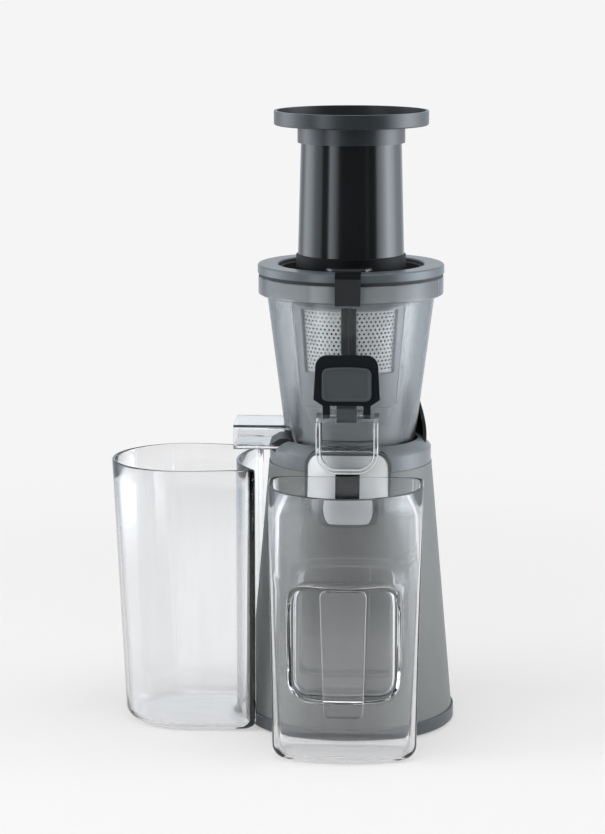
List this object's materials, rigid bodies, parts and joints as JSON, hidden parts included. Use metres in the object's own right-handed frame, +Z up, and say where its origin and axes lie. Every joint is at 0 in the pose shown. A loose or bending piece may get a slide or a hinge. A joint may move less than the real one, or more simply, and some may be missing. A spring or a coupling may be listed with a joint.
{
  "type": "cold press juicer",
  "caption": "Vertical slow juicer: tapered motor base, clear bowl with screw and strainer, feed tube with tray, hinged drip cap, jug and pulp container.",
  "frame": {"origin": "where the screw's axis meets the worktop, in the middle of the base's rubber ring", "axes": "+Z up, the juice spout faces -Y, the pulp chute faces -X, the mains gland faces +Y"},
  "size_m": [0.2453, 0.2183, 0.4368],
  "materials": {
    "rubber_grip": "matt",
    "dark_trim": "satin",
    "black_plastic": "satin",
    "silver_body": "satin silver lacquer",
    "bright_plate": "fine brushed",
    "steel": "turned",
    "steel_mesh": "etched sheet",
    "ferrite": "sintered",
    "gear_plastic": "natural acetal",
    "gear_case": "glass filled nylon",
    "cast_aluminium": "die cast",
    "silicone": "satin silicone",
    "cap_silicone": "satin silicone",
    "smoke_plastic": "smoke tinted clear",
    "strainer_plastic": "tinted",
    "auger_plastic": "polished",
    "black_gloss": "polished",
    "silver_trim": "satin silver lacquer",
    "tray_plastic": "satin",
    "clear_plastic": "clear moulded"
  },
  "bodies": {
    "base": {"body_shell": "silver_body", "foot_ring": "dark_trim", "grip_ring": "rubber_grip", "base_plate": "black_plastic", "base_screws": "steel", "collar_ring": "dark_trim", "bowl_seat": "black_plastic", "control_plate": "bright_plate", "plate_surround": "dark_trim", "switch_housing": "black_plastic", "mains_gland": "black_plastic", "motor_can": "steel", "motor_end_cap": "steel", "motor_magnets": "ferrite", "idler_pin": "steel", "gearbox_housing": "gear_case", "gearbox_bulkhead": "gear_case", "gearbox_cover": "cast_aluminium", "shaft_bearing": "steel", "shaft_seal": "silicone"},
    "rotor": {"motor_shaft": "steel", "armature": "ferrite", "cooling_fan": "gear_plastic", "motor_pinion": "steel"},
    "idler": {"idler_gear": "steel"},
    "drive": {"drive_shaft": "steel", "output_gear": "gear_plastic"},
    "rocker": {"rocker_button": "black_plastic"},
    "bowl": {"juice_bowl": "smoke_plastic", "bowl_gasket": "silicone", "pulp_plug": "silicone", "strainer_frame": "strainer_plastic", "strainer_mesh": "steel_mesh", "strainer_strip": "silicone", "cap_pin": "steel", "hinge_bumper": "cap_silicone"},
    "screw": {"auger": "auger_plastic"},
    "cap": {"drip_cap": "black_gloss", "cap_seal": "cap_silicone"},
    "lid": {"lid": "black_gloss", "lid_ring": "silver_trim"},
    "tray": {"feed_tray": "tray_plastic"},
    "jug": {"juice_jug": "clear_plastic"},
    "pulp_bin": {"pulp_container": "clear_plastic"}
  },
  "joints": [
    {"name": "rotor_spin", "type": "hinge", "parent": "base", "child": "rotor", "pos_m": [0, 0.00585, 0.1], "axis": [0, 0, 1], "continuous": true},
    {"name": "idler_spin", "type": "hinge", "parent": "base", "child": "idler", "pos_m": [0, 0.0306, 0.12], "axis": [0, 0, 1], "continuous": true},
    {"name": "drive_spin", "type": "hinge", "parent": "base", "child": "drive", "pos_m": [0, 0, 0.15], "axis": [0, 0, 1], "continuous": true},
    {"name": "rocker_tilt", "type": "hinge", "parent": "base", "child": "rocker", "pos_m": [0, -0.0543, 0.1735], "axis": [1, 0, 0], "range_deg": [-8, 8]},
    {"name": "bowl_lift", "type": "slide", "parent": "base", "child": "bowl", "axis": [0, 0, 1], "range_m": [0, 0.06]},
    {"name": "screw_spin", "type": "hinge", "parent": "bowl", "child": "screw", "pos_m": [0, 0, 0.21], "axis": [0, 0, 1], "continuous": true},
    {"name": "cap_swing", "type": "hinge", "parent": "bowl", "child": "cap", "pos_m": [0, -0.076, 0.235], "axis": [1, 0, 0], "range_deg": [0, 180]},
    {"name": "lid_lift", "type": "slide", "parent": "bowl", "child": "lid", "axis": [0, 0, 1], "range_m": [0, 0.06]},
    {"name": "tray_lift", "type": "slide", "parent": "lid", "child": "tray", "axis": [0, 0, 1], "range_m": [0, 0.04]},
    {"name": "jug_slide", "type": "slide", "parent": "base", "child": "jug", "axis": [0, -1, 0], "range_m": [0, 0.1]},
    {"name": "pulp_bin_slide", "type": "slide", "parent": "base", "child": "pulp_bin", "axis": [-1, 0, 0], "range_m": [0, 0.1]}
  ],
  "couplings": [
    {"joint": "idler_spin", "follows": "rotor_spin", "ratio": -0.25},
    {"joint": "drive_spin", "follows": "rotor_spin", "ratio": 0.06875},
    {"joint": "screw_spin", "follows": "rotor_spin", "ratio": 0.06875}
  ]
}
